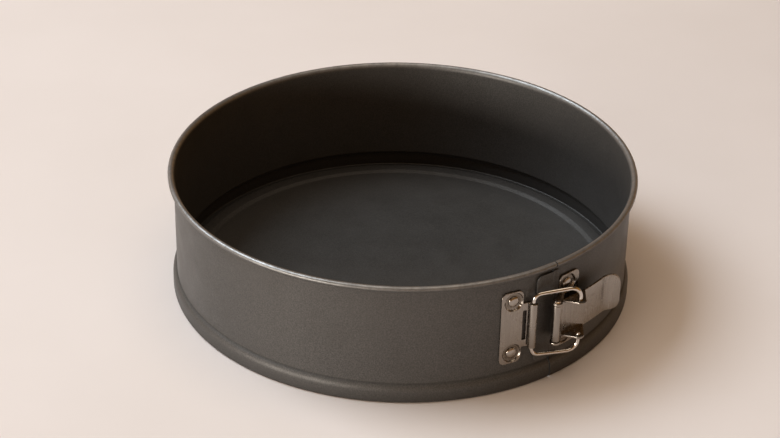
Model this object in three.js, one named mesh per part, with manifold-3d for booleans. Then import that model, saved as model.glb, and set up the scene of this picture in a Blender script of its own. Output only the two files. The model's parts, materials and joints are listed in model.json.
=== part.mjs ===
// Springform cake pan: a spring-steel band with a toggle latch around a loose base plate.
// Millimetres, +Z up. The origin is on the pan's axis, in the plane that the pan stands on.
// The latch faces -Y. Angles around the pan are in degrees from -Y, positive towards +X.
import * as THREE from 'three';
import { mergeVertices } from 'three/addons/utils/BufferGeometryUtils.js';
import Module from 'manifold-3d';

const wasm = await Module();
wasm.setup();

// Band
const WALL_INNER = 114.5;
const SHEET = 0.6;
const WALL_OUTER = WALL_INNER + SHEET;
const WALL_MIDDLE = WALL_INNER + SHEET / 2;
const PAN_HEIGHT = 64.25;
const RIM_FLARE = 2.9;
const RIM_FLARE_TURN = 45;
const RIM_CURL = 1.2;
const RIM_CURL_TURN = 225;
const FOOT_OUTER = 117.2;
const FOOT_CORNER = 1.0;
const FOOT_SIDE_TOP = 5.75;
const FOOT_SHOULDER = 4.7;
const FOOT_SHOULDER_TURN = 50;
const LIP_INNER = 110.8;
const BAND_SEGMENTS = 90;
const SEAM_LEFT = -1.6;
const SEAM_RIGHT = -1.3;
const BACK_GAP = 0.075;

// Clearance between pieces, and how far a cutting shape stands past what it cuts
const GAP = 0.3;
const CUT_MARGIN = 10;

// Lap strip that covers the seam from outside
const LAP_END = -6.3;
const LAP_ROOT = -1.0;
const LAP_INNER = 115.7;
const LAP_LOW = 12;
const LAP_HIGH = 59;

// Base plate
const BASE_RADIUS = 113.3;
const BASE_SHEET = 0.8;
const BASE_EDGE_LIFT = 0.9;
const PANEL_RADIUS = 106;
const STEP_RADIUS = 108;

// Latch: pivots as a radius from the pan's axis and an angle around it
const LATCH_HEIGHT = 34.6;
const KNUCKLE = { radius: 118.0, angle: -7.7 };
const LEVER_PIVOT = { radius: 122.3, angle: -2.6 };
const BAIL_PIVOT = { radius: 126.0, angle: 2.6 };
const HOOK_ANGLE = -12.35;
const BRACKET_ANGLE = 3.25;
const PLATE_OFFSET = 0.9;
const PLATE_HEIGHT = 39.6;
const PLATE_SHEET = 1.0;
const PLATE_CORNER = 3;
const PLATE_OVERLAP = 1;
const PLATE_STANDOFF = WALL_OUTER + GAP;
const HOOK_WIDTH = 11.5;
const BRACKET_WIDTH = 13.4;
const BARREL_RADIUS = 2.1;
const WIRE_RADIUS = 1.0;
const KNUCKLE_HEIGHT = 24.2;
const KNUCKLE_WEB = 0.75;
const SLOT_HEIGHT = 16.4;
const SLOT_WIDTH = 2.0;

// Rivets
const RIVET_SPREAD = 14.2;
const RIVET_SHANK = 1.5;
const RIVET_HEAD = 2.8;
const RIVET_HEAD_RISE = 1.2;
const RIVET_TAIL = 2.6;
const RIVET_TAIL_RISE = 0.5;
const RIVET_TAIL_EDGE = 0.3;
const RIVET_TAIL_GAP = 0.4;

// Lever, its pin and the bail
const LEVER_HEIGHT = 20;
const LEVER_SHEET = 1.0;
const LEVER_INNER = LEVER_PIVOT.radius - BARREL_RADIUS;
const LEVER_LENGTH = 34;
const LEVER_LIP_LENGTH = 9;
const LEVER_LIP_RISE = 6;
const TAB_START = 4;
const TAB_END = 19;
const TAB_RADIUS = 3;
const TAB_ARC = [200, 340];
const PIN_RADIUS = 0.8;
const PIN_HEAD = 1.6;
const PIN_HEAD_RISE = 0.8;
const EAR_SHEET = 1.2;
const EAR_BOSS = 2.6;
const EAR_ARC = [115, 290];
const EAR_INSET = 0.5;
const BAIL_KNUCKLE_SPREAD = 16.7;
const BAIL_TIP_SPREAD = 17.6;
const BAIL_KNUCKLE_BEND = 3.8;
const BAIL_TIP_BEND = 5.5;
const BAIL_STEPS = 64;

// How finely curves are divided
const ROUND_SIDES = 14;
const WIRE_SIDES = 8;
const BOSS_STEPS = 10;
const CORNER_STEPS = 5;
const LEVER_STEPS = 10;
const LIP_STEPS = 4;
const LAP_STEPS = 6;
const SECTOR_STEPS = 24;

const radians = THREE.MathUtils.degToRad;

function coating(color) {
  return new THREE.MeshStandardMaterial({ color, roughness: 0.45, metalness: 0.35 });
}

function platedSteel(color) {
  return new THREE.MeshStandardMaterial({ color, roughness: 0.28, metalness: 1.0 });
}

// A closed geometry as a solid that can be joined and cut.
function solid(geometry) {
  const bare = geometry.clone();
  bare.deleteAttribute('normal');
  bare.deleteAttribute('uv');
  const merged = mergeVertices(bare, 1e-4);
  const vertProperties = new Float32Array(merged.attributes.position.array);
  const triVerts = new Uint32Array(merged.index.array);
  return new wasm.Manifold(new wasm.Mesh({ numProp: 3, vertProperties, triVerts }));
}

function geometryOf(body) {
  const mesh = body.getMesh();
  const geometry = new THREE.BufferGeometry();
  geometry.setAttribute('position', new THREE.BufferAttribute(mesh.vertProperties, 3));
  geometry.setIndex(new THREE.BufferAttribute(mesh.triVerts, 1));
  geometry.computeVertexNormals();
  return geometry;
}

// A ring or disc turned about the vertical axis. The profile runs anticlockwise.
function turned(profile, segments) {
  const points = profile.map(([radius, height]) => new THREE.Vector2(radius, height));
  return new THREE.LatheGeometry(points, segments).rotateX(Math.PI / 2);
}

// An outline in plan, as a prism between two heights.
function prism(outline, low, high, holes = []) {
  const shape = new THREE.Shape(outline.map(([x, y]) => new THREE.Vector2(x, y)));
  for (const [x, y, radius] of holes) {
    shape.holes.push(new THREE.Path().absarc(x, y, radius, 0, 2 * Math.PI, true));
  }
  const options = { depth: high - low, bevelEnabled: false, curveSegments: ROUND_SIDES };
  return new THREE.ExtrudeGeometry(shape, options).translate(0, 0, low);
}

function disc(x, y, radius, low, high, holes = []) {
  const outline = new THREE.Path().absarc(x, y, radius, 0, 2 * Math.PI, false).getPoints(ROUND_SIDES);
  return prism(outline.slice(0, -1).map((point) => [point.x, point.y]), low, high, holes);
}

function planPoint(radius, angle) {
  return [radius * Math.sin(radians(angle)), -radius * Math.cos(radians(angle))];
}

// A pivot seen from a group that is turned to face another angle.
function localPivot(pivot, angle) {
  return planPoint(pivot.radius, pivot.angle - angle);
}

function arc(radius, from, to, steps) {
  return Array.from({ length: steps + 1 }, (_, i) => planPoint(radius, from + ((to - from) * i) / steps));
}

// Both faces of a sheet that follows a centre line in section, as one closed profile.
function sheetProfile(line, thickness) {
  const half = thickness / 2;
  const sides = [[], []];
  line.forEach(([r, z], i) => {
    const before = line[Math.max(i - 1, 0)];
    const after = line[Math.min(i + 1, line.length - 1)];
    const into = new THREE.Vector2(r - before[0], z - before[1]).normalize();
    const out = new THREE.Vector2(after[0] - r, after[1] - z).normalize();
    const along = into.clone().add(out).normalize();
    const isEnd = i === 0 || i === line.length - 1;
    const reach = isEnd ? half : half / along.dot(out);
    sides[0].push([r + along.y * reach, z - along.x * reach]);
    sides[1].push([r - along.y * reach, z + along.x * reach]);
  });
  const profile = [...sides[0], ...sides[1].reverse()];
  return [...profile, profile[0]];
}

// Points of an arc in section. Angles are in degrees from outward, positive upwards.
function sectionArc([radius, height], bend, from, to, steps) {
  return Array.from({ length: steps + 1 }, (_, i) => {
    const angle = radians(from + ((to - from) * i) / steps);
    return [radius + bend * Math.cos(angle), height + bend * Math.sin(angle)];
  });
}

// The middle of the band's sheet in section: lip, foot, shoulder, wall, flare and rolled rim.
function bandCentreLine() {
  const side = FOOT_OUTER - SHEET / 2;
  const bottom = SHEET / 2;
  const corner = sectionArc([side - FOOT_CORNER, bottom + FOOT_CORNER], FOOT_CORNER, -90, 0, 2);
  const shoulderCentre = [side - FOOT_SHOULDER, FOOT_SIDE_TOP];
  const shoulder = sectionArc(shoulderCentre, FOOT_SHOULDER, 0, FOOT_SHOULDER_TURN, 2);
  const [slopeRadius, slopeBottom] = shoulder[shoulder.length - 1];
  const crease = slopeBottom + (slopeRadius - WALL_MIDDLE) / Math.tan(radians(FOOT_SHOULDER_TURN));
  const turn = radians(RIM_FLARE_TURN);
  const curlHeight = PAN_HEIGHT - SHEET / 2 - RIM_CURL;
  const flareCentre = [WALL_MIDDLE + RIM_FLARE, curlHeight - (RIM_FLARE - RIM_CURL) * Math.sin(turn)];
  const curlCentre = [flareCentre[0] - (RIM_FLARE - RIM_CURL) * Math.cos(turn), curlHeight];
  const curlStart = 180 - RIM_FLARE_TURN;
  const flare = sectionArc(flareCentre, RIM_FLARE, 180, curlStart, 2);
  const curl = sectionArc(curlCentre, RIM_CURL, curlStart, curlStart - RIM_CURL_TURN, 5);
  return [[LIP_INNER, bottom], ...corner, ...shoulder, [WALL_MIDDLE, crease], ...flare, ...curl.slice(1)];
}

// Rivet holes through the wall, along the radius at one angle.
function rivetHoles(angle) {
  const bores = [-1, 1].map((side) => {
    const radius = RIVET_SHANK + GAP;
    const bore = new THREE.CylinderGeometry(radius, radius, CUT_MARGIN, ROUND_SIDES);
    bore.translate(0, -WALL_MIDDLE, LATCH_HEIGHT + side * RIVET_SPREAD);
    return solid(bore.rotateZ(radians(angle)));
  });
  return bores[0].add(bores[1]);
}

function bandHalf(from, to, rivetAngle) {
  const outline = [[0, 0], ...arc(FOOT_OUTER + CUT_MARGIN, from, to, SECTOR_STEPS)];
  const sector = solid(prism(outline, -CUT_MARGIN, PAN_HEIGHT + CUT_MARGIN));
  const ring = solid(turned(sheetProfile(bandCentreLine(), SHEET), BAND_SEGMENTS));
  return ring.intersect(sector).subtract(rivetHoles(rivetAngle));
}

// The strip joined to the right end, which laps over the outside of the left end.
function lapStrip() {
  const outline = [
    ...arc(LAP_INNER + SHEET, LAP_END, LAP_ROOT, LAP_STEPS),
    planPoint(WALL_INNER, LAP_ROOT),
    planPoint(WALL_INNER, SEAM_RIGHT),
    ...arc(LAP_INNER, SEAM_RIGHT, LAP_END, LAP_STEPS),
  ];
  return solid(prism(outline, LAP_LOW, LAP_HIGH));
}

function basePlate() {
  const top = BASE_EDGE_LIFT + BASE_SHEET;
  return turned([
    [0, 0],
    [PANEL_RADIUS, 0],
    [STEP_RADIUS, BASE_EDGE_LIFT],
    [BASE_RADIUS, BASE_EDGE_LIFT],
    [BASE_RADIUS, top],
    [STEP_RADIUS - BASE_SHEET / 2, top],
    [PANEL_RADIUS - BASE_SHEET / 2, BASE_SHEET],
    [0, BASE_SHEET],
  ], BAND_SEGMENTS);
}

// A flat latch plate with round corners and two rivet holes, standing against the wall.
// The rivets are on x = 0, and the plate's own middle is beside them.
function latchPlate(width, middle) {
  const left = middle - width / 2;
  const right = middle + width / 2;
  const z = PLATE_HEIGHT / 2;
  const c = PLATE_CORNER;
  const shape = new THREE.Shape();
  shape.moveTo(left + c, -z).lineTo(right - c, -z).absarc(right - c, -z + c, c, -Math.PI / 2, 0, false);
  shape.lineTo(right, z - c).absarc(right - c, z - c, c, 0, Math.PI / 2, false);
  shape.lineTo(left + c, z).absarc(left + c, z - c, c, Math.PI / 2, Math.PI, false);
  shape.lineTo(left, -z + c).absarc(left + c, -z + c, c, Math.PI, 1.5 * Math.PI, false);
  for (const side of [-1, 1]) {
    const hole = new THREE.Path().absarc(0, side * RIVET_SPREAD, RIVET_SHANK + GAP, 0, 2 * Math.PI, true);
    shape.holes.push(hole);
  }
  const options = { depth: PLATE_SHEET, bevelEnabled: false, curveSegments: CORNER_STEPS };
  const plate = new THREE.ExtrudeGeometry(shape, options).rotateX(Math.PI / 2);
  return solid(plate.translate(0, -PLATE_STANDOFF, 0));
}

// The hook plate. Its right edge is rolled into a knuckle for the bail, with a slot beside the plate.
function hookPlate() {
  const [x, y] = localPivot(KNUCKLE, HOOK_ANGLE);
  const low = -KNUCKLE_HEIGHT / 2;
  const high = KNUCKLE_HEIGHT / 2;
  const barrel = disc(x, y, BARREL_RADIUS, low, high, [[x, y, WIRE_RADIUS + GAP]]);
  const edge = HOOK_WIDTH / 2 - PLATE_OFFSET;
  const start = edge - PLATE_OVERLAP;
  const near = y + BARREL_RADIUS;
  const far = near - KNUCKLE_WEB;
  const web = prism([[start, near], [start, far], [x, far], [x, near]], low, high);
  const slotOutline = [
    [edge, near + CUT_MARGIN],
    [edge, near - CUT_MARGIN],
    [edge + SLOT_WIDTH, near - CUT_MARGIN],
    [edge + SLOT_WIDTH, near + CUT_MARGIN],
  ];
  const slot = prism(slotOutline, -SLOT_HEIGHT / 2, SLOT_HEIGHT / 2);
  const plate = latchPlate(HOOK_WIDTH, -PLATE_OFFSET);
  return plate.add(solid(web)).add(solid(barrel)).subtract(solid(slot));
}

// The bracket, with two ears that carry the lever's pin.
function leverBracket() {
  const [x, y] = localPivot(LEVER_PIVOT, BRACKET_ANGLE);
  const inner = LEVER_HEIGHT / 2 + GAP;
  const earLeft = PLATE_OFFSET - BRACKET_WIDTH / 2 + EAR_INSET;
  const earRight = -PLATE_OVERLAP;
  const plateFace = -PLATE_STANDOFF - PLATE_SHEET / 2;
  const underside = -LAP_INNER - SHEET - GAP;
  const [from, to] = EAR_ARC.map(radians);
  const boss = new THREE.Path().absarc(x, y, EAR_BOSS, from, to, false).getPoints(BOSS_STEPS);
  const outline = [
    [earRight, plateFace],
    [earLeft, plateFace],
    [earLeft, underside],
    ...boss.map((point) => [point.x, point.y]),
  ];
  const ears = [inner, -inner - EAR_SHEET].map((low) => {
    return solid(prism(outline, low, low + EAR_SHEET, [[x, y, PIN_RADIUS + GAP]]));
  });
  return latchPlate(BRACKET_WIDTH, PLATE_OFFSET).add(ears[0]).add(ears[1]);
}

// A rivet along its own axis: domed head outside, flat tail inside the pan.
function rivet() {
  const tail = WALL_INNER - RIVET_TAIL_GAP;
  const head = PLATE_STANDOFF + PLATE_SHEET + GAP;
  const dome = [0, 30, 60].map((angle) => [
    RIVET_HEAD * Math.cos(radians(angle)),
    head + RIVET_HEAD_RISE * Math.sin(radians(angle)),
  ]);
  const profile = [
    [0, tail - RIVET_TAIL_RISE],
    [RIVET_TAIL - RIVET_TAIL_EDGE, tail - RIVET_TAIL_RISE],
    [RIVET_TAIL, tail],
    [RIVET_SHANK, tail],
    [RIVET_SHANK, head],
    ...dome,
    [0, head + RIVET_HEAD_RISE],
  ];
  return turned(profile, ROUND_SIDES).rotateX(Math.PI / 2);
}

function leverPin() {
  const shoulder = LEVER_HEIGHT / 2 + GAP + EAR_SHEET + GAP;
  const end = shoulder + PIN_HEAD_RISE;
  return turned([
    [0, -end],
    [PIN_HEAD, -end],
    [PIN_HEAD, -shoulder],
    [PIN_RADIUS, -shoulder],
    [PIN_RADIUS, shoulder],
    [PIN_HEAD, shoulder],
    [PIN_HEAD, end],
    [0, end],
  ], ROUND_SIDES);
}

// Outward distance of a circle about the pan's axis, seen from the lever's pivot.
function arcOffset(radius, x) {
  return -(Math.sqrt(radius * radius - x * x) - LEVER_PIVOT.radius);
}

// One face of the lever's sheet: parallel to the wall, then flaring outward as a finger lip.
function leverFace(radius) {
  const plate = Array.from({ length: LEVER_STEPS + 1 }, (_, i) => {
    const x = (LEVER_LENGTH * i) / LEVER_STEPS;
    return [x, arcOffset(radius, x)];
  });
  const lip = Array.from({ length: LIP_STEPS }, (_, i) => {
    const part = (i + 1) / LIP_STEPS;
    const x = LEVER_LENGTH + LEVER_LIP_LENGTH * part;
    return [x, arcOffset(radius, x) - LEVER_LIP_RISE * part * part];
  });
  return [...plate, ...lip];
}

// The lever in its own frame: pivot at the origin, +X along the handle, -Y away from the pan.
function lever() {
  const top = LEVER_HEIGHT / 2;
  const outer = LEVER_INNER + LEVER_SHEET;
  const plate = prism([...leverFace(outer), ...leverFace(LEVER_INNER).reverse()], -top, top);
  const barrel = disc(0, 0, BARREL_RADIUS, -top, top, [[0, 0, PIN_RADIUS + GAP]]);
  const [x, fromAxis] = localPivot(BAIL_PIVOT, LEVER_PIVOT.angle);
  const y = fromAxis + LEVER_PIVOT.radius;
  const root = (at) => [at, arcOffset(outer - LEVER_SHEET / 2, at)];
  const [from, to] = TAB_ARC.map(radians);
  const boss = new THREE.Path().absarc(x, y, TAB_RADIUS, from, to, false).getPoints(BOSS_STEPS);
  const tab = [root(TAB_START), ...boss.map((point) => [point.x, point.y]), root(TAB_END)];
  const tabs = [-top, top - LEVER_SHEET].map((low) => {
    return solid(prism(tab, low, low + LEVER_SHEET, [[x, y, WIRE_RADIUS + GAP]]));
  });
  return solid(plate).add(solid(barrel)).add(tabs[0]).add(tabs[1]);
}

// A polyline with its corners rounded, each by its own radius.
function roundedPath(points, bends) {
  const path = new THREE.CurvePath();
  let start = points[0];
  for (let i = 1; i < points.length - 1; i += 1) {
    const corner = points[i];
    const radius = bends[i - 1];
    const into = corner.clone().sub(points[i - 1]).normalize();
    const out = points[i + 1].clone().sub(corner).normalize();
    const begin = corner.clone().addScaledVector(into, -radius);
    const end = corner.clone().addScaledVector(out, radius);
    path.add(new THREE.LineCurve3(start, begin));
    path.add(new THREE.QuadraticBezierCurve3(begin, corner, end));
    start = end;
  }
  path.add(new THREE.LineCurve3(start, points[points.length - 1]));
  return path;
}

// The bail in the knuckle's frame: its upright leg on the Z axis, its tips just outside the lever's tabs.
function wireBail() {
  const knuckle = new THREE.Vector2(...planPoint(KNUCKLE.radius, KNUCKLE.angle));
  const reach = new THREE.Vector2(...planPoint(BAIL_PIVOT.radius, BAIL_PIVOT.angle)).sub(knuckle);
  const tip = LEVER_HEIGHT / 2 + GAP;
  const points = [
    new THREE.Vector3(reach.x, reach.y, -tip),
    new THREE.Vector3(reach.x, reach.y, -BAIL_TIP_SPREAD),
    new THREE.Vector3(0, 0, -BAIL_KNUCKLE_SPREAD),
    new THREE.Vector3(0, 0, BAIL_KNUCKLE_SPREAD),
    new THREE.Vector3(reach.x, reach.y, BAIL_TIP_SPREAD),
    new THREE.Vector3(reach.x, reach.y, tip),
  ];
  const section = new THREE.Shape();
  for (let i = 0; i < WIRE_SIDES; i += 1) {
    const turn = (2 * Math.PI * i) / WIRE_SIDES;
    const point = [WIRE_RADIUS * Math.cos(turn), WIRE_RADIUS * Math.sin(turn)];
    if (i === 0) section.moveTo(...point);
    else section.lineTo(...point);
  }
  const bends = [BAIL_TIP_BEND, BAIL_KNUCKLE_BEND, BAIL_KNUCKLE_BEND, BAIL_TIP_BEND];
  const extrudePath = roundedPath(points, bends);
  return new THREE.ExtrudeGeometry(section, { steps: BAIL_STEPS, bevelEnabled: false, extrudePath });
}

function named(name, geometry, material) {
  const mesh = new THREE.Mesh(geometry, material);
  mesh.name = name;
  return mesh;
}

// A group turned to face one angle, at the latch's height.
function latchGroup(angle) {
  const group = new THREE.Group();
  group.rotation.z = radians(angle);
  group.position.z = LATCH_HEIGHT;
  return group;
}

function addRivets(group, prefix) {
  for (const [place, side] of [['upper', 1], ['lower', -1]]) {
    const mesh = named(`${prefix}_rivet_${place}`, rivet(), platedSteel(0xb9b2a8));
    mesh.position.z = side * RIVET_SPREAD;
    group.add(mesh);
  }
}

const pan = new THREE.Group();
const leftBand = bandHalf(-180 + BACK_GAP, SEAM_LEFT, HOOK_ANGLE);
const rightBand = bandHalf(SEAM_RIGHT, 180 - BACK_GAP, BRACKET_ANGLE).add(lapStrip());
pan.add(named('band_left', geometryOf(leftBand), coating(0x4b4540)));
pan.add(named('band_right', geometryOf(rightBand), coating(0x4b4540)));
pan.add(named('base_plate', basePlate(), coating(0x46413c)));

const hookGroup = latchGroup(HOOK_ANGLE);
hookGroup.add(named('hook_plate', geometryOf(hookPlate()), platedSteel(0xa79f95)));
addRivets(hookGroup, 'hook');
pan.add(hookGroup);

const bracketGroup = latchGroup(BRACKET_ANGLE);
bracketGroup.add(named('lever_bracket', geometryOf(leverBracket()), platedSteel(0xa79f95)));
addRivets(bracketGroup, 'bracket');
pan.add(bracketGroup);

const leverGroup = latchGroup(LEVER_PIVOT.angle);
const leverMesh = named('lever', geometryOf(lever()), platedSteel(0xb4aca2));
const pinMesh = named('lever_pin', leverPin(), platedSteel(0x8f8880));
for (const mesh of [leverMesh, pinMesh]) {
  mesh.position.y = -LEVER_PIVOT.radius;
  leverGroup.add(mesh);
}
pan.add(leverGroup);

const bail = named('wire_bail', wireBail(), platedSteel(0xc2bab0));
const [bailX, bailY] = planPoint(KNUCKLE.radius, KNUCKLE.angle);
bail.position.set(bailX, bailY, LATCH_HEIGHT);
pan.add(bail);

export default pan;
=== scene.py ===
"""Looks of the springform pan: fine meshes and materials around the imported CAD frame.

Shapes are worked out in millimetres and scaled to metres when a mesh is made.
Angles around the pan are in degrees from -Y, where the latch is, positive towards +X.
"""
import json
import math

import bmesh
import bpy
from mathutils import Matrix, Vector


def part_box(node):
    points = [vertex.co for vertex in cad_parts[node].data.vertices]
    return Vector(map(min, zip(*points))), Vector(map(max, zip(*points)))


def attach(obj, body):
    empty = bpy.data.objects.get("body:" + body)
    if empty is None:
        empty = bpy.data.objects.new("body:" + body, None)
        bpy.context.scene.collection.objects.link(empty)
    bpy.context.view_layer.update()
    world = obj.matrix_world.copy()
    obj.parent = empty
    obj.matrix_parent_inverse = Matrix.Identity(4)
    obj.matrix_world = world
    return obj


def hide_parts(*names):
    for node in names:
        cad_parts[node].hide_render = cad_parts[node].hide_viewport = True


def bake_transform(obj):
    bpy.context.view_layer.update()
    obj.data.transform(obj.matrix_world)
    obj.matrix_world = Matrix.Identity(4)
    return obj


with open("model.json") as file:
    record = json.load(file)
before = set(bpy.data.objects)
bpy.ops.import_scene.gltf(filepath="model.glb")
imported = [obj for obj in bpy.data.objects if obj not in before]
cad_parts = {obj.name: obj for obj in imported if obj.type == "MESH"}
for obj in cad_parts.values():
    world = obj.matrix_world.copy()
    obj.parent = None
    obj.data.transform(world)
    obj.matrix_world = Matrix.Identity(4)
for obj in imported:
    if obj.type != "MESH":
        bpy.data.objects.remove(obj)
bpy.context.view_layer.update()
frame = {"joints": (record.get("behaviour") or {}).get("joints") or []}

MM = 0.001
SHARP_ANGLE = math.radians(32)
JOINTS = {joint["name"]: joint for joint in frame["joints"]}

# Band, in millimetres
PAN_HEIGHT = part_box("band_right")[1].z / MM
SHEET = 0.6
WALL_INNER = 114.5
WALL_OUTER = WALL_INNER + SHEET
WALL_MIDDLE = WALL_INNER + SHEET / 2
RIM_FLARE = 2.9
RIM_FLARE_TURN = 45.0
RIM_CURL = 1.2
RIM_CURL_END = -112.0
FOOT_RADIUS = 117.2
FOOT_CORNER = 1.0
FOOT_SIDE_TOP = 5.75
FOOT_SHOULDER = 4.7
FOOT_SHOULDER_TURN = 50.0
LIP_INNER = 110.8
SEAM_LEFT = -1.6
SEAM_RIGHT = -1.3
LATCH_ZONE = (-21.0, 12.0)

# Strip over the seam, in degrees around the pan and millimetres
LAP_START = 0.3
LAP_SPAN = 6.6
LAP_STEP = (0.9, 1.8)
LAP_STEPS = 60
LAP_HALF = 23.5
LAP_MIDDLE = 35.5

# Base plate, in millimetres
BASE_HEM = 112.75
BASE_RISE = 0.9
BASE_HEM_BULGE = 0.15
BASE_FLAT = 103.0
BASE_STEP_TOP = (105.2, 107.6)
BASE_STEP_UNDER = (106.0, 108.4)
BASE_BENDS = (5.0, 1.4, 1.4)

# Latch, in millimetres and degrees
LATCH_HEIGHT = JOINTS["lever_pivot"]["pos_m"][2] / MM
HOOK_ANGLE = -12.35
BRACKET_ANGLE = 3.25
HOOK_WIDTH = 11.5
BRACKET_WIDTH = 13.4
PLATE_HEIGHT = 39.6
PLATE_OFFSET = 0.9
PLATE_SHEET = 1.0
PLATE_GAP = 0.05
PLATE_MIDDLE = WALL_OUTER + PLATE_GAP + PLATE_SHEET / 2
PLATE_CORNER = 3.0
SLOT_WIDTH = 2.0
SLOT_HEIGHT = 16.4
RIVET_SPREAD = 14.2
RIVET_HEAD = 2.75
DISH_DEPTH = 0.9
DISH_FLAT = 4.35
DISH_RADIUS = 5.0
RIVET_SHANK = 2.2
BARREL_MEAN = 1.6
KNUCKLE_SHEET = 0.95
KNUCKLE_HALF = 12.1
EAR_SHEET = 1.2
EAR_GAP = 0.25
EAR_BOSS = 2.6
LEVER_HEIGHT = 20.0
LEVER_SHEET = 1.0
LEVER_PLATE = 34.0
LEVER_CORNER = 5.0
LIP_LENGTH = 9.0
LIP_RISE = 6.0
TAB_BOSS = 2.9
TAB_FLANK = 5.2
TAB_DROP = 2.2
WIRE = 1.0
WIRE_CLEARANCE = 0.15
BAIL_KNUCKLE_HALF = 16.7
BAIL_TIP_HALF = 17.6
BAIL_TIP_INSET = 1.6
BAIL_BENDS = (5.4, 3.6, 3.6, 5.4)
PIN = 0.8

# Coating's painted crease shade, darkening towards the floor, and rim wear with painted highlight: heights
# from the crease, the floor and the rim, in millimetres
COAT_METALLIC = 0.35
CREASE_FADE = (0.8, 0.1, 0.2, 0.9)
LOW_DARK_TOP = 7.5
RIM_WEAR_AND_HIGHLIGHT = (1.8, 0.4)
DISH_SHADE_REACH = (3.4, 5.2)


def polar(radius, angle):
    turn = math.radians(angle)
    return Vector((radius * math.sin(turn), -radius * math.cos(turn)))


def outward(angle):
    return polar(1.0, angle)


def sideways(angle):
    turn = math.radians(angle)
    return Vector((math.cos(turn), math.sin(turn)))


def angle_of(point):
    return math.degrees(math.atan2(point.x, -point.y))


def sweep(centre, angle, radius, turns):
    """Points about a centre in plan, with turns from sideways towards outward at an angle of the pan."""
    side, out = sideways(angle), outward(angle)
    return [centre + (side * math.cos(math.radians(a)) + out * math.sin(math.radians(a))) * radius
            for a in turns]


def smoothstep(low, high, value):
    t = min(max((value - low) / (high - low), 0.0), 1.0)
    return t * t * (3 - 2 * t)


KNUCKLE = Vector(JOINTS["bail_swing"]["pos_m"][:2]) / MM
LEVER_PIVOT = Vector(JOINTS["lever_pivot"]["pos_m"][:2]) / MM
BAIL_BOX = [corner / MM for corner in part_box("wire_bail")]
BAIL_PIVOT = Vector((BAIL_BOX[1].x - WIRE, BAIL_BOX[0].y + WIRE))


# ---------------------------------------------------------------- meshes

def make_object(name, vertices, faces):
    """A smooth-shaded object from millimetre vertices, with its sharp edges kept crisp."""
    mesh = bpy.data.meshes.new(name)
    mesh.from_pydata([tuple(c * MM for c in v) for v in vertices], [], faces)
    mesh.validate()
    bm = bmesh.new()
    bm.from_mesh(mesh)
    bmesh.ops.remove_doubles(bm, verts=bm.verts, dist=1e-7)
    bmesh.ops.recalc_face_normals(bm, faces=bm.faces)
    bm.to_mesh(mesh)
    bm.free()
    obj = bpy.data.objects.new(name, mesh)
    bpy.context.scene.collection.objects.link(obj)
    shade(obj)
    return obj


def shade(obj):
    obj.data.polygons.foreach_set("use_smooth", [True] * len(obj.data.polygons))
    obj.data.set_sharp_from_angle(angle=SHARP_ANGLE)


def rings_object(name, rings):
    """Joins equal rings of points into a tube with a cap at each end."""
    size = len(rings[0])
    vertices = [point for ring in rings for point in ring]
    faces = []
    for i in range(len(rings) - 1):
        a, b = i * size, (i + 1) * size
        for j in range(size):
            k = (j + 1) % size
            faces.append((a + j, a + k, b + k, b + j))
    faces.append(tuple(range(size)))
    faces.append(tuple((len(rings) - 1) * size + j for j in reversed(range(size))))
    return make_object(name, vertices, faces)


def turned(name, profile, place, steps=48):
    """A profile of (radius, height) from axis to axis, turned about its own Z and then placed."""
    vertices, faces = [], []
    inner = profile[1:-1]
    for i in range(steps):
        turn = 2 * math.pi * i / steps
        vertices += [(r * math.cos(turn), r * math.sin(turn), z) for r, z in inner]
    size = len(inner)
    for i in range(steps):
        a, b = i * size, ((i + 1) % steps) * size
        faces += [(a + j, b + j, b + j + 1, a + j + 1) for j in range(size - 1)]
    ends = [len(vertices), len(vertices) + 1]
    vertices += [(0, 0, profile[0][1]), (0, 0, profile[-1][1])]
    for i in range(steps):
        a, b = i * size, ((i + 1) % steps) * size
        faces.append((ends[0], b, a))
        faces.append((ends[1], a + size - 1, b + size - 1))
    placed = [place @ Vector(v) for v in vertices]
    return make_object(name, placed, faces)


def arc_points(centre, radius, start, end, step=10.0):
    count = max(1, math.ceil(abs(end - start) / step))
    turns = [math.radians(start + (end - start) * i / count) for i in range(count + 1)]
    return [Vector((centre[0] + radius * math.cos(t), centre[1] + radius * math.sin(t))) for t in turns]


def rounded(points, radii, step=12.0):
    """A polyline, 2D or 3D, with each inner corner replaced by a true arc."""
    path = [points[0]]
    for i in range(1, len(points) - 1):
        into = (points[i] - points[i - 1]).normalized()
        out = (points[i + 1] - points[i]).normalized()
        turn = into.angle(out)
        reach = radii[i - 1] * math.tan(turn / 2)
        start = points[i] - into * reach
        inward = (out - into * into.dot(out)).normalized()
        centre = start + inward * radii[i - 1]
        count = max(2, math.ceil(math.degrees(turn) / step))
        for j in range(count + 1):
            t = turn * j / count
            path.append(centre - inward * radii[i - 1] * math.cos(t) + into * radii[i - 1] * math.sin(t))
    return path + [points[-1]]


def subdivided(path, spacing):
    """Adds points so that no straight stretch of a path is longer than the spacing."""
    out = [path[0]]
    for a, b in zip(path, path[1:]):
        count = max(1, math.ceil((b - a).length / spacing))
        out += [a.lerp(b, (i + 1) / count) for i in range(count)]
    return out


def normals_along(path):
    """Left-hand normals of a path in a plane."""
    normals = []
    for i in range(len(path)):
        along = (path[min(i + 1, len(path) - 1)] - path[max(i - 1, 0)]).normalized()
        normals.append(Vector((-along.y, along.x)))
    return normals


def slab_section(half, thickness, edge, rows):
    """Section of a sheet: (offset, height) points round a rectangle with rounded edges."""
    side = thickness / 2
    section = []
    for offset, start in ((side - edge, 0), (-side + edge, 180)):
        sign = 1 if start == 0 else -1
        heights = [sign * (half - edge) * (2 * r / rows - 1) for r in range(rows + 1)]
        section += [(sign * side, height) for height in heights]
        corner = arc_points((offset, sign * (half - edge)), edge, start, start + 90, 30.0)[1:]
        section += [tuple(point) for point in corner]
        far = arc_points((-offset, sign * (half - edge)), edge, start + 90, start + 180, 30.0)[:-1]
        section += [tuple(point) for point in far]
    return section


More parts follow.
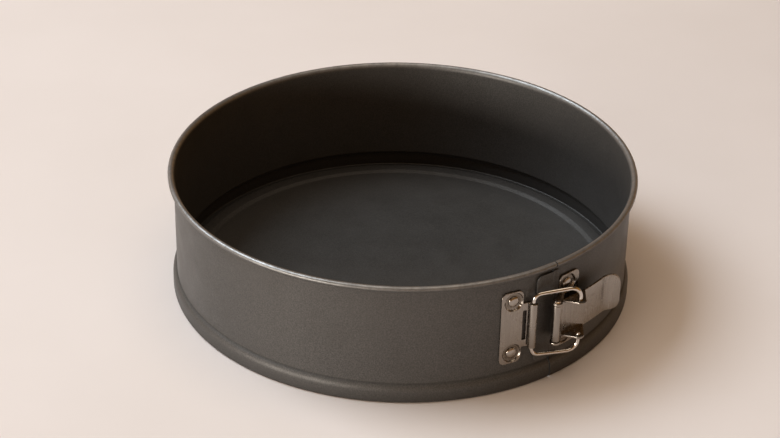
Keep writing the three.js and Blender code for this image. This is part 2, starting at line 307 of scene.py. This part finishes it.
def sheet_strip(name, path, halves, thickness, centre_z, edge=0.25, rows=2, shift=None):
    """A bent sheet: its middle follows a path in plan and it stands to a half height above and below."""
    rings = []
    for point, normal, half in zip(path, normals_along(path), halves):
        ring = []
        for offset, height in slab_section(half, thickness, edge, rows):
            moved = point + normal * offset
            z = centre_z + height
            if shift:
                moved = moved + shift(moved, z)
            ring.append((moved.x, moved.y, z))
        rings.append(ring)
    return rings_object(name, rings)


def corner_halves(path, half, start_corner, end_corner):
    """Half heights along a path for rounded corners at its two ends."""
    least = 0.5
    lengths = [0.0]
    for a, b in zip(path, path[1:]):
        lengths.append(lengths[-1] + (b - a).length)
    halves = []
    for length in lengths:
        value = half
        for near, corner in ((length, start_corner), (lengths[-1] - length, end_corner)):
            if corner and near < corner:
                value = min(value, half - corner + math.sqrt(corner ** 2 - (corner - near) ** 2))
        halves.append(max(value, least))
    return halves


def graded_arc(radius, start, end, corner, step=0.35):
    """Points of an arc about the pan's axis, closer together at its two ends."""
    length = math.radians(abs(end - start)) * radius
    marks = [corner * (1 - math.cos(math.radians(a))) for a in range(0, 91, 10)]
    count = math.ceil((length - 2 * corner) / step)
    middle = [corner + (length - 2 * corner) * i / count for i in range(1, count)]
    places = marks + middle + [length - mark for mark in reversed(marks)]
    return [polar(radius, start + (end - start) * place / length) for place in places]


def prism(name, outline, low, high, bevel=0.15):
    """An outline in plan between two heights, with its edges softened."""
    vertices = [(p.x, p.y, low) for p in outline] + [(p.x, p.y, high) for p in outline]
    size = len(outline)
    faces = [tuple(reversed(range(size))), tuple(range(size, 2 * size))]
    faces += [(j, (j + 1) % size, size + (j + 1) % size, size + j) for j in range(size)]
    obj = make_object(name, vertices, faces)
    soften(obj, bevel)
    return obj


def soften(obj, width):
    modifier = obj.modifiers.new("soften", "BEVEL")
    modifier.width = width * MM
    modifier.segments = 2
    modifier.limit_method = "ANGLE"
    modifier.angle_limit = math.radians(40)
    apply_modifiers(obj)
    shade(obj)


def apply_modifiers(obj):
    evaluated = obj.evaluated_get(bpy.context.evaluated_depsgraph_get())
    mesh = bpy.data.meshes.new_from_object(evaluated)
    obj.modifiers.clear()
    old = obj.data
    obj.data = mesh
    bpy.data.meshes.remove(old)


def boolean(obj, tool, operation):
    modifier = obj.modifiers.new("boolean", "BOOLEAN")
    modifier.operation = operation
    modifier.solver = "EXACT"
    modifier.object = tool
    bpy.context.view_layer.update()
    apply_modifiers(obj)
    bpy.data.objects.remove(tool)
    shade(obj)


def drilled(obj, centre, radius, low, high):
    place = Matrix.Translation((centre.x, centre.y, 0))
    tool = turned("tool", [(0, low), (radius, low), (radius, high), (0, high)], place, 32)
    boolean(obj, tool, "DIFFERENCE")


# ---------------------------------------------------------------- band

def rivet_centres(angle):
    return [(angle, LATCH_HEIGHT + side * RIVET_SPREAD) for side in (1, -1)]


def dish_shift(angle, reach):
    """Sinks a sheet towards the pan's axis round each rivet."""
    centres = rivet_centres(angle)

    def shift(point, z):
        arc = math.radians(angle_of(point) - angle) * point.length
        depth = 0.0
        for _, height in centres:
            distance = math.hypot(arc, z - height)
            depth = max(depth, 1 - smoothstep(DISH_FLAT + reach, DISH_RADIUS + reach, distance))
        return outward(angle_of(point)) * (-DISH_DEPTH * depth)

    return shift


def crease_height():
    """Where the foot's shoulder runs into the wall."""
    turn = math.radians(FOOT_SHOULDER_TURN)
    end = FOOT_RADIUS - SHEET / 2 - FOOT_SHOULDER * (1 - math.cos(turn))
    return FOOT_SIDE_TOP + FOOT_SHOULDER * math.sin(turn) + (end - WALL_MIDDLE) / math.tan(turn)


def band_section():
    """Closed section of the band's sheet, as radius and height, from the lip to the rolled rim."""
    foot = FOOT_RADIUS - SHEET / 2
    shoulder = FOOT_SIDE_TOP + FOOT_SHOULDER * math.tan(math.radians(FOOT_SHOULDER_TURN / 2))
    turn = math.radians(RIM_FLARE_TURN)
    curl_z = PAN_HEIGHT - SHEET / 2 - RIM_CURL
    flare = Vector((WALL_MIDDLE + RIM_FLARE, curl_z - (RIM_FLARE - RIM_CURL) * math.sin(turn)))
    curl = Vector((flare.x - (RIM_FLARE - RIM_CURL) * math.cos(turn), curl_z))
    corners = [
        Vector((LIP_INNER, SHEET / 2)),
        Vector((foot, SHEET / 2)),
        Vector((foot, shoulder)),
        Vector((WALL_MIDDLE, crease_height())),
        Vector((WALL_MIDDLE, flare.y)),
    ]
    line = rounded(corners, [FOOT_CORNER, FOOT_SHOULDER, 0.2], 6.0)
    line = line[:-1] + subdivided([line[-2], line[-1]], 0.6)[1:]
    line += arc_points(flare, RIM_FLARE, 180, 180 - RIM_FLARE_TURN, 8.0)[1:]
    line += arc_points(curl, RIM_CURL, 180 - RIM_FLARE_TURN, RIM_CURL_END, 10.0)[1:]
    half = SHEET / 2
    normals = normals_along(line)
    outer = [p - n * half for p, n in zip(line, normals)]
    inner = [p + n * half for p, n in zip(line, normals)]
    return outer + list(reversed(inner))


def band_angles(start, end, rivet_angle):
    """Angles of the band's cross-sections, close together round the rivets."""
    angles = [start]
    while angles[-1] < end:
        fine = LATCH_ZONE[0] < angles[-1] < LATCH_ZONE[1]
        finest = abs(angles[-1] - rivet_angle) < 3.0
        angles.append(min(end, angles[-1] + (0.2 if finest else 0.5 if fine else 1.5)))
    return angles


def band_half(name, start, end, rivet_angle):
    section = band_section()
    shift = dish_shift(rivet_angle, 0.5)
    low, high = crease_height() + 3, PAN_HEIGHT - 5
    rings = []
    for angle in band_angles(start, end, rivet_angle):
        near_rivet = abs(angle - rivet_angle) < 5
        ring = []
        for point in section:
            place = polar(point.x, angle)
            if near_rivet and low < point.y < high:
                place = place + shift(place, point.y)
            ring.append((place.x, place.y, point.y))
        rings.append(ring)
    return rings_object(name, rings)


def lap_strip():
    """The strip on the right end that covers the seam from outside, stepping out over the left end."""
    near, far = WALL_OUTER + SHEET / 2, WALL_OUTER + SHEET * 1.5
    angles = [LAP_START - LAP_SPAN * i / LAP_STEPS for i in range(LAP_STEPS + 1)]
    path = [polar(near + (far - near) * smoothstep(*LAP_STEP, -a), a) for a in angles]
    halves = corner_halves(path, LAP_HALF, 1.0, 3.0)
    return sheet_strip("lap_strip", path, halves, SHEET, LAP_MIDDLE, edge=0.2, rows=2)


def join(objects, name):
    """Several closed meshes as one object."""
    first = objects[0]
    bm = bmesh.new()
    for obj in objects:
        bm.from_mesh(obj.data)
    bm.to_mesh(first.data)
    bm.free()
    for obj in objects[1:]:
        bpy.data.objects.remove(obj)
    first.name = name
    shade(first)
    return first


# ---------------------------------------------------------------- base

def base_plate():
    """The loose base: flat floor, a pressed step up, and a hemmed edge just inside the wall."""
    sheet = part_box("base_plate")[1].z / MM - BASE_RISE
    top = [
        Vector((0, sheet)), Vector((BASE_FLAT, sheet)), Vector((BASE_STEP_TOP[0], sheet)),
        Vector((BASE_STEP_TOP[1], BASE_RISE + sheet)), Vector((BASE_HEM, BASE_RISE + sheet)),
    ]
    bottom = [
        Vector((BASE_HEM, BASE_RISE)), Vector((BASE_STEP_UNDER[1], BASE_RISE)),
        Vector((BASE_STEP_UNDER[0], 0)), Vector((BASE_FLAT, 0)), Vector((0, 0)),
    ]
    upper = rounded(top, BASE_BENDS)
    edge = arc_points((BASE_HEM, BASE_RISE + sheet / 2), sheet / 2 + BASE_HEM_BULGE, 90, -90, 20.0)
    lower = rounded(bottom, BASE_BENDS[::-1])
    profile = upper + edge + lower
    points = [(max(p.x, 0.0), p.y) for p in profile]
    return turned("base_disc", list(reversed(points)), Matrix.Identity(4), 256)


# ---------------------------------------------------------------- latch

def latch_plate(name, angle, width, offset):
    """A plate with round corners and a dish round each rivet; its middle is beside the rivets."""
    centre = angle + math.degrees(offset / PLATE_MIDDLE)
    half_angle = math.degrees(width / 2 / PLATE_MIDDLE)
    path = graded_arc(PLATE_MIDDLE, centre - half_angle, centre + half_angle, PLATE_CORNER, 0.2)
    halves = corner_halves(path, PLATE_HEIGHT / 2, PLATE_CORNER, PLATE_CORNER)
    shift = dish_shift(angle, 0.0)
    return sheet_strip(name, path, halves, PLATE_SHEET, LATCH_HEIGHT, edge=0.3, rows=160, shift=shift)


def rolled_edge():
    """The knuckle: the hook plate's right edge rolled round the bail's upright leg."""
    angle = angle_of(KNUCKLE)
    lift = KNUCKLE.length - BARREL_MEAN - PLATE_MIDDLE
    rise_from, steps = HOOK_ANGLE + 1.8, 13
    path = []
    for i in range(steps + 1):
        at = rise_from + (angle - rise_from) * i / steps
        path.append(polar(PLATE_MIDDLE + lift * smoothstep(rise_from + 0.8, angle, at), at))
    path += sweep(KNUCKLE, angle, BARREL_MEAN, range(-78, 205, 12))
    halves = [KNUCKLE_HALF] * len(path)
    return sheet_strip("rolled_edge", path, halves, KNUCKLE_SHEET, LATCH_HEIGHT, edge=0.2, rows=2)


def edge_slot():
    """The opening between the hook plate's edge and its knuckle."""
    start = HOOK_ANGLE + math.degrees((HOOK_WIDTH / 2 - PLATE_OFFSET) / WALL_OUTER)
    end = start + math.degrees(SLOT_WIDTH / WALL_OUTER)
    outline = [polar(WALL_OUTER - 3, start), polar(WALL_OUTER - 3, end),
               polar(WALL_OUTER + 3, end), polar(WALL_OUTER + 3, start)]
    half = SLOT_HEIGHT / 2
    return prism("edge_slot", outline, LATCH_HEIGHT - half, LATCH_HEIGHT + half, 0.4)


def ear(name, low, high):
    """One of the bracket's two ears, standing off the plate to hold the pin."""
    side, out = sideways(BRACKET_ANGLE), outward(BRACKET_ANGLE)
    foot = WALL_OUTER + 0.1
    edge = PLATE_OFFSET - BRACKET_WIDTH / 2 + 0.5
    start = out * foot - side
    left = side * edge + out * foot
    lifted = side * edge + out * (foot + 1.4)
    outline = [start, left, lifted, *sweep(LEVER_PIVOT, BRACKET_ANGLE, EAR_BOSS, range(245, 60, -12))]
    return prism(name, list(reversed(outline)), low, high, 0.2)


def bracket():
    plate = latch_plate("bracket", BRACKET_ANGLE, BRACKET_WIDTH, PLATE_OFFSET)
    near = LEVER_HEIGHT / 2 + EAR_GAP
    for side in (1, -1):
        low, high = sorted((LATCH_HEIGHT + side * near, LATCH_HEIGHT + side * (near + EAR_SHEET)))
        boolean(plate, ear("ear", low, high), "UNION")
    plate.name = "bracket_pressing"
    return plate


def lever_path():
    """The lever's middle line in plan: rolled barrel, plate parallel to the wall, flared lip."""
    angle = angle_of(LEVER_PIVOT)
    side, out = sideways(angle), outward(angle)
    radius = LEVER_PIVOT.length - BARREL_MEAN
    steps, plate = 85, []
    for i in range(steps + 1):
        x = (LEVER_PLATE + LIP_LENGTH) * i / steps
        lift = max(0.0, (x - LEVER_PLATE) / LIP_LENGTH)
        at = side * x + out * math.sqrt(radius ** 2 - x ** 2)
        plate.append(at + out * LIP_RISE * lift * lift)
    return sweep(LEVER_PIVOT, angle, BARREL_MEAN, range(48, 262, 12)) + plate


def tab(name, low, high):
    """One of the lever's two tabs, bent outward from the plate's edge to hold a tip of the bail."""
    angle = angle_of(LEVER_PIVOT)
    side, out = sideways(angle), outward(angle)
    radius = LEVER_PIVOT.length - BARREL_MEAN
    root = [side * x + out * (math.sqrt(radius ** 2 - x ** 2) - 0.2) for x in range(4, 21, 2)]
    reach = BAIL_PIVOT.dot(side)
    right, left = (side * (reach + way * TAB_FLANK) + out * (BAIL_PIVOT.dot(out) - TAB_DROP)
                   for way in (1, -1))
    outline = [*root, right, *sweep(BAIL_PIVOT, angle, TAB_BOSS, range(20, 161, 10)), left]
    obj = prism(name, outline, low, high, 0.2)
    drilled(obj, BAIL_PIVOT, WIRE + WIRE_CLEARANCE, low - 1, high + 1)
    return obj


def lever():
    path = lever_path()
    halves = corner_halves(path, LEVER_HEIGHT / 2, 0.0, LEVER_CORNER)
    body = sheet_strip("lever_pressing", path, halves, LEVER_SHEET, LATCH_HEIGHT, edge=0.3, rows=4)
    for side in (1, -1):
        edge = LATCH_HEIGHT + side * LEVER_HEIGHT / 2
        low, high = sorted((edge, edge - side * LEVER_SHEET))
        boolean(body, tab("tab", low, high), "UNION")
    return body


def bail():
    """The wire bail: upright leg in the knuckle, two arms, and tips turned in through the lever's tabs."""
    end = LEVER_HEIGHT / 2 - BAIL_TIP_INSET
    corners = [Vector((*place, height)) for place, height in (
        (BAIL_PIVOT, -end), (BAIL_PIVOT, -BAIL_TIP_HALF), (KNUCKLE, -BAIL_KNUCKLE_HALF),
        (KNUCKLE, BAIL_KNUCKLE_HALF), (BAIL_PIVOT, BAIL_TIP_HALF), (BAIL_PIVOT, end),
    )]
    path = subdivided(rounded(corners, BAIL_BENDS, 8.0), 3.0)
    return wire_tube("bail_wire", path, WIRE, LATCH_HEIGHT)


def wire_tube(name, path, radius, lift):
    """A round wire along a path, with rounded ends."""
    sides = 20
    along = [(path[min(i + 1, len(path) - 1)] - path[max(i - 1, 0)]).normalized() for i in range(len(path))]
    across = along[0].orthogonal().normalized()
    rings = []
    for i, (point, way) in enumerate(zip(path, along)):
        across = (across - way * across.dot(way)).normalized()
        other = way.cross(across)
        sizes = [(0.0, 1.0)]
        if i == 0:
            sizes = [(-0.5, 0.35), (-0.42, 0.7), (-0.22, 0.92), (0.0, 1.0)]
        if i == len(path) - 1:
            sizes = [(0.0, 1.0), (0.22, 0.92), (0.42, 0.7), (0.5, 0.35)]
        for shift, scale in sizes:
            centre = point + way * shift + Vector((0, 0, lift))
            rings.append([
                centre + (across * math.cos(2 * math.pi * j / sides)
                          + other * math.sin(2 * math.pi * j / sides)) * radius * scale
                for j in range(sides)
            ])
    return rings_object(name, rings)


def rivet(name, angle, height):
    """Domed head in the plate's dish outside, flat tail inside the pan."""
    floor = WALL_OUTER + PLATE_GAP + PLATE_SHEET - DISH_DEPTH - 0.05
    tail = WALL_INNER - DISH_DEPTH + 0.05
    dome = [(RIVET_HEAD * math.cos(math.radians(a)), floor + 0.25 + 0.95 * math.sin(math.radians(a)))
            for a in range(0, 90, 10)]
    head = [(0, floor + 1.2), *reversed(dome), (RIVET_HEAD - 0.05, floor)]
    shank = [(RIVET_SHANK, floor), (RIVET_SHANK, tail)]
    button = [(2.55, tail), (2.6, tail - 0.08), (2.45, tail - 0.2)]
    end = [(1.2, tail - 0.24), (0.8, tail - 0.16), (0, tail - 0.14)]
    turn = Matrix.Rotation(math.radians(angle), 4, "Z") @ Matrix.Rotation(math.radians(90), 4, "X")
    place = Matrix.Translation((0, 0, height)) @ turn
    return turned(name, [*head, *shank, *button, *end], place)


def pin():
    """The lever's pin, with a low set head at each end."""
    start = LEVER_HEIGHT / 2 + EAR_GAP + EAR_SHEET
    head = [(PIN, 0), (1.55, 0), (1.6, 0.15), (1.45, 0.5), (0.9, 0.78), (0, 0.8)]
    profile = [(r, -start - z) for r, z in reversed(head)] + [(r, start + z) for r, z in head]
    return turned("pivot_pin", profile, Matrix.Translation((LEVER_PIVOT.x, LEVER_PIVOT.y, LATCH_HEIGHT)))


# ---------------------------------------------------------------- materials

class Nodes:
    """A small helper to write a node material as plain calls."""

    def __init__(self, name):
        self.material = bpy.data.materials.new(name)
        self.material.use_nodes = True
        self.tree = self.material.node_tree
        self.tree.nodes.clear()
        self.output = self.tree.nodes.new("ShaderNodeOutputMaterial")
        self.shader = self.tree.nodes.new("ShaderNodeBsdfPrincipled")
        self.tree.links.new(self.shader.outputs[0], self.output.inputs[0])
        self.coordinates = self.tree.nodes.new("ShaderNodeTexCoord").outputs["Object"]

    def link(self, value, socket):
        if isinstance(value, bpy.types.NodeSocket):
            self.tree.links.new(value, socket)
        else:
            socket.default_value = value

    def set(self, **values):
        for name, value in values.items():
            self.link(value, self.shader.inputs[name.replace("_", " ")])

    def noise(self, scale, detail=3.0, roughness=0.55, stretch=(1, 1, 1)):
        mapping = self.tree.nodes.new("ShaderNodeMapping")
        mapping.inputs["Scale"].default_value = stretch
        self.tree.links.new(self.coordinates, mapping.inputs[0])
        node = self.tree.nodes.new("ShaderNodeTexNoise")
        self.tree.links.new(mapping.outputs[0], node.inputs["Vector"])
        node.inputs["Scale"].default_value = scale
        node.inputs["Detail"].default_value = detail
        node.inputs["Roughness"].default_value = roughness
        return node.outputs[0]

    def distance(self, point):
        node = self.tree.nodes.new("ShaderNodeVectorMath")
        node.operation = "DISTANCE"
        self.tree.links.new(self.coordinates, node.inputs[0])
        node.inputs[1].default_value = point
        return node.outputs["Value"]

    def spread(self, value, low, high, to_low=0.0, to_high=1.0):
        node = self.tree.nodes.new("ShaderNodeMapRange")
        self.tree.links.new(value, node.inputs["Value"])
        numbers = {"From Min": low, "From Max": high, "To Min": to_low, "To Max": to_high}
        for name, number in numbers.items():
            node.inputs[name].default_value = number
        return node.outputs[0]

    def maths(self, operation, a, b):
        node = self.tree.nodes.new("ShaderNodeMath")
        node.operation = operation
        self.link(a, node.inputs[0])
        self.link(b, node.inputs[1])
        return node.outputs[0]

    def height(self):
        node = self.tree.nodes.new("ShaderNodeSeparateXYZ")
        self.tree.links.new(self.coordinates, node.inputs[0])
        return node.outputs["Z"]

    def mix(self, factor, a, b):
        node = self.tree.nodes.new("ShaderNodeMix")
        node.data_type = "RGBA"
        self.link(factor, node.inputs["Factor"])
        self.link(a, node.inputs["A"])
        self.link(b, node.inputs["B"])
        return node.outputs["Result"]

    def bump(self, height, strength, distance, normal=None):
        node = self.tree.nodes.new("ShaderNodeBump")
        node.inputs["Strength"].default_value = strength
        node.inputs["Distance"].default_value = distance
        self.tree.links.new(height, node.inputs["Height"])
        if normal is not None:
            self.tree.links.new(normal, node.inputs["Normal"])
        return node.outputs[0]


def grey(value, warm=0.0):
    return (value * (1 + warm), value, value * (1 - warm), 1.0)


def coating(name, tone, band_wear_and_painted_light):
    """Satin non-stick coating with metal flake, orange peel and faint stains.

    On the band the rim is lighter, partly worn metal and partly painted highlight; the crease is rougher
    and has painted shade; the foot grows darker towards the floor.
    """
    m = Nodes(name)
    speckle = m.spread(m.noise(1500, 2.0, 0.7), 0.36, 0.66)
    cloud = m.spread(m.noise(14, 4.0), 0.35, 0.7)
    stain = m.spread(m.noise(46, 5.0, 0.65), 0.52, 0.75)
    colour = m.mix(speckle, grey(tone * 0.72, 0.03), grey(tone * 1.4, 0.05))
    colour = m.mix(m.maths("MULTIPLY", cloud, 0.35), colour, grey(tone * 1.35, 0.06))
    colour = m.mix(m.maths("MULTIPLY", stain, 0.3), colour, grey(tone * 0.6, 0.1))
    roughness = m.spread(m.noise(60, 4.0), 0.3, 0.7, 0.4, 0.5)
    metallic = COAT_METALLIC
    if band_wear_and_painted_light:
        # painted shade in the crease: a darker, rougher band where the foot's shoulder runs into the wall
        crease = crease_height()
        below, at_foot, at_wall, above = CREASE_FADE
        over = m.spread(m.height(), (crease - below) * MM, (crease - at_foot) * MM)
        under = m.spread(m.height(), (crease + at_wall) * MM, (crease + above) * MM, 1.0, 0.0)
        crease_shade = m.maths("MULTIPLY", over, under)
        # the foot grows darker towards the floor, up to LOW_DARK_TOP
        darker_low = m.spread(m.height(), MM, LOW_DARK_TOP * MM, 0.65, 0.1)
        dark = m.maths("MAXIMUM", m.maths("MULTIPLY", crease_shade, 0.4), darker_low)
        # the colour takes the painted crease shade and the darkening towards the floor
        colour = m.mix(dark, colour, grey(tone * 0.35, 0.1))
        roughness = m.maths("ADD", roughness, m.maths("MULTIPLY", crease_shade, 0.3))
        roughness = m.maths("ADD", roughness, m.spread(over, 0.0, 1.0, 0.06, 0.0))
        # rim top: partly worn metal, partly painted highlight; lighter, more metallic and smoother
        top = m.spread(m.height(), (PAN_HEIGHT - RIM_WEAR_AND_HIGHLIGHT[0]) * MM, (PAN_HEIGHT - RIM_WEAR_AND_HIGHLIGHT[1]) * MM)
        patches = m.spread(m.noise(190, 4.0, 0.7), 0.36, 0.6, 0.55, 1.0)
        wear_and_highlight = m.maths("MULTIPLY", top, patches)
        colour = m.mix(m.maths("MULTIPLY", wear_and_highlight, 0.85), colour, grey(0.31, 0.01))
        metallic = m.maths("ADD", COAT_METALLIC, m.maths("MULTIPLY", wear_and_highlight, 0.5))
        roughness = m.maths("SUBTRACT", roughness, m.maths("MULTIPLY", wear_and_highlight, 0.04))
    peel = m.bump(m.noise(1300, 2.0), 0.3, 0.00006)
    waves = m.bump(m.noise(34, 1.0), 0.3, 0.0006, peel)
    m.set(Base_Color=colour, Roughness=roughness, Metallic=metallic, Normal=waves)
    return m.material


RIVET_DISHES = [
    (*(polar(WALL_OUTER + PLATE_SHEET / 2, angle) * MM), height * MM)
    for side in (HOOK_ANGLE, BRACKET_ANGLE) for angle, height in rivet_centres(side)
]


def plated(name, tone, warm, rough, brushed, dish_shade=False):
    """Plated steel: fine rubbing marks, smudges, a little tarnish, and painted shade in the rivets' dishes.
    """
    m = Nodes(name)
    marks = m.noise(900, 3.0, 0.6, brushed)
    smudge = m.spread(m.noise(150, 4.0), 0.35, 0.7)
    tarnish = m.spread(m.noise(420, 5.0, 0.7), 0.55, 0.75)
    colour = m.mix(m.spread(marks, 0.3, 0.7), grey(tone * 0.9, warm), grey(tone * 1.08, warm))
    colour = m.mix(m.maths("MULTIPLY", tarnish, 0.3), colour, grey(tone * 0.55, warm + 0.08))
    if dish_shade:
        # painted shade: a darker, patchy area over each rivet's dish
        nearest = 1.0
        for centre in RIVET_DISHES:
            nearest = m.maths("MINIMUM", m.distance(centre), nearest)
        ring = m.spread(nearest, DISH_SHADE_REACH[0] * MM, DISH_SHADE_REACH[1] * MM, 1.0, 0.0)
        patches = m.spread(m.noise(260, 4.0, 0.65), 0.3, 0.6, 0.35, 1.0)
        colour = m.mix(m.maths("MULTIPLY", ring, patches), colour, grey(tone * 0.42, warm + 0.12))
    roughness = m.maths("ADD", m.spread(smudge, 0.0, 1.0, rough * 0.8, rough * 1.25),
                        m.spread(marks, 0.3, 0.7, -0.04, 0.05))
    fine = m.bump(marks, 0.12, 0.00004)
    dents = m.bump(m.noise(240, 2.0), 0.22, 0.00018, fine)
    m.set(Base_Color=colour, Roughness=roughness, Metallic=1.0, Normal=dents)
    return m.material


def dress(obj, material, slot, *replaced):
    obj.data.materials.clear()
    obj.data.materials.append(material)
    if replaced:
        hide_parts(*replaced)


# ---------------------------------------------------------------- the pan

band_coat = coating("band_coat", 0.056, True)
base_coat = coating("base_coat", 0.05, False)
latch_steel = plated("latch_steel", 0.27, 0.11, 0.24, (1, 1, 0.08), dish_shade=True)
rivet_steel = plated("rivet_steel", 0.34, 0.1, 0.2, (1, 1, 1))
wire_steel = plated("wire_steel", 0.58, 0.06, 0.1, (1, 1, 1))

left = band_half("band_left_wall", -180.0, SEAM_LEFT, HOOK_ANGLE)
dress(left, band_coat, "band_coating", "band_left")
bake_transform(left)

right = join([band_half("right", SEAM_RIGHT, 180.0, BRACKET_ANGLE), lap_strip()], "band_right_wall")
dress(right, band_coat, "band_coating", "band_right")
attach(right, "right_half")

floor_plate = base_plate()
dress(floor_plate, base_coat, "base_coating", "base_plate")
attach(floor_plate, "base")

hook = latch_plate("hook_pressing", HOOK_ANGLE, HOOK_WIDTH, -PLATE_OFFSET)
boolean(hook, rolled_edge(), "UNION")
boolean(hook, edge_slot(), "DIFFERENCE")
dress(hook, latch_steel, "latch_steel", "hook_plate")
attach(hook, "left_half")

bracket_piece = bracket()
dress(bracket_piece, latch_steel, "latch_steel", "lever_bracket")
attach(bracket_piece, "right_half")

for prefix, angle, body in (("hook", HOOK_ANGLE, "left_half"), ("bracket", BRACKET_ANGLE, "right_half")):
    for place, (_, height) in zip(("upper", "lower"), rivet_centres(angle)):
        piece = rivet(f"{prefix}_rivet_{place}_head", angle, height)
        dress(piece, rivet_steel, "rivet_steel", f"{prefix}_rivet_{place}")
        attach(piece, body)

lever_piece = lever()
dress(lever_piece, latch_steel, "latch_steel", "lever")
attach(lever_piece, "lever")

pin_piece = pin()
dress(pin_piece, wire_steel, "wire_steel", "lever_pin")
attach(pin_piece, "right_half")

bail_piece = bail()
dress(bail_piece, wire_steel, "wire_steel", "wire_bail")
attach(bail_piece, "bail")


# ---------------------------------------------------------------- stage, light and camera

VIEW_TURN = math.radians(-39.6)
CAMERA_BACK = 0.8884
CAMERA_UP = 0.5496
CAMERA_LENS = 92.72
CAMERA_YAW = math.radians(-0.384)
CAMERA_PITCH = math.radians(30.233)
CAMERA_ROLL = math.radians(1.126)


def seen_from_camera(right, away, up):
    """A place right of, away from and above the pan's axis as the camera sees it, in metres."""
    return Matrix.Rotation(VIEW_TURN, 4, "Z") @ Vector((right, away, up))


def floor():
    bpy.ops.mesh.primitive_plane_add(size=12)
    plane = bpy.context.object
    plane.name = "floor"
    m = Nodes("floor_stone")
    cloud = m.spread(m.noise(5.5, 4.0), 0.3, 0.7)
    colour = m.mix(cloud, (0.77, 0.71, 0.68, 1), (0.81, 0.75, 0.725, 1))
    m.set(Base_Color=colour, Roughness=0.55, Normal=m.bump(m.noise(300, 2.0), 0.05, 0.0002))
    plane.data.materials.append(m.material)


LAMPS = [
    ("window", (-1.9, 0.55, 2.5), (2.0, 1.8), 91.0, (0.85, 0.93, 1.0)),
    ("overhead", (0.1, -0.1, 2.1), (2.0, 2.0), 16.5, (1.0, 0.81, 0.62)),
    ("left_wall", (-2.2, -2.1, 0.25), (2.0, 0.45), 90.0, (1.0, 0.93, 0.84)),
]
CEILING = (0.05, 0.042, 0.035)
HORIZON = (0.44, 0.205, 0.045)


def area_light(name, place, size, power, colour):
    data = bpy.data.lights.new(name, "AREA")
    data.shape = "RECTANGLE"
    data.size, data.size_y = size
    data.energy = power
    data.color = colour
    lamp = bpy.data.objects.new(name, data)
    bpy.context.scene.collection.objects.link(lamp)
    lamp.location = seen_from_camera(*place)
    lamp.rotation_mode = "QUATERNION"
    lamp.rotation_quaternion = (-lamp.location).to_track_quat("-Z", "Y")


def room():
    """A dim room with warm wood-coloured surroundings under a darker ceiling."""
    world = bpy.data.worlds.new("soft_room")
    bpy.context.scene.world = world
    world.use_nodes = True
    tree = world.node_tree
    background = tree.nodes["Background"]
    direction = tree.nodes.new("ShaderNodeTexCoord").outputs["Generated"]
    split = tree.nodes.new("ShaderNodeSeparateXYZ")
    tree.links.new(direction, split.inputs[0])
    ceiling = tree.nodes.new("ShaderNodeMapRange")
    ceiling.interpolation_type = "SMOOTHSTEP"
    ceiling.inputs["From Min"].default_value = 0.15
    ceiling.inputs["From Max"].default_value = 0.75
    tree.links.new(split.outputs["Z"], ceiling.inputs["Value"])
    blend = tree.nodes.new("ShaderNodeMix")
    blend.data_type = "RGBA"
    blend.inputs["A"].default_value = (*HORIZON, 1.0)
    blend.inputs["B"].default_value = (*CEILING, 1.0)
    tree.links.new(ceiling.outputs[0], blend.inputs["Factor"])
    tree.links.new(blend.outputs["Result"], background.inputs["Color"])


def lights():
    room()
    for lamp in LAMPS:
        area_light(*lamp)


def camera():
    """The camera stands 0.888 m off the pan's axis and 0.550 m up, looking 30 degrees down."""
    data = bpy.data.cameras.new("camera")
    data.sensor_width = 36.0
    data.lens = CAMERA_LENS
    data.clip_start, data.clip_end = 0.01, 50
    cam = bpy.data.objects.new("camera", data)
    bpy.context.scene.collection.objects.link(cam)
    turn = (Matrix.Rotation(VIEW_TURN - CAMERA_YAW, 4, "Z")
            @ Matrix.Rotation(math.pi / 2 - CAMERA_PITCH, 4, "X") @ Matrix.Rotation(CAMERA_ROLL, 4, "Z"))
    cam.matrix_world = Matrix.Translation(seen_from_camera(0, -CAMERA_BACK, CAMERA_UP)) @ turn
    bpy.context.scene.camera = cam


floor()
lights()
camera()
bpy.context.scene.view_settings.view_transform = "Standard"
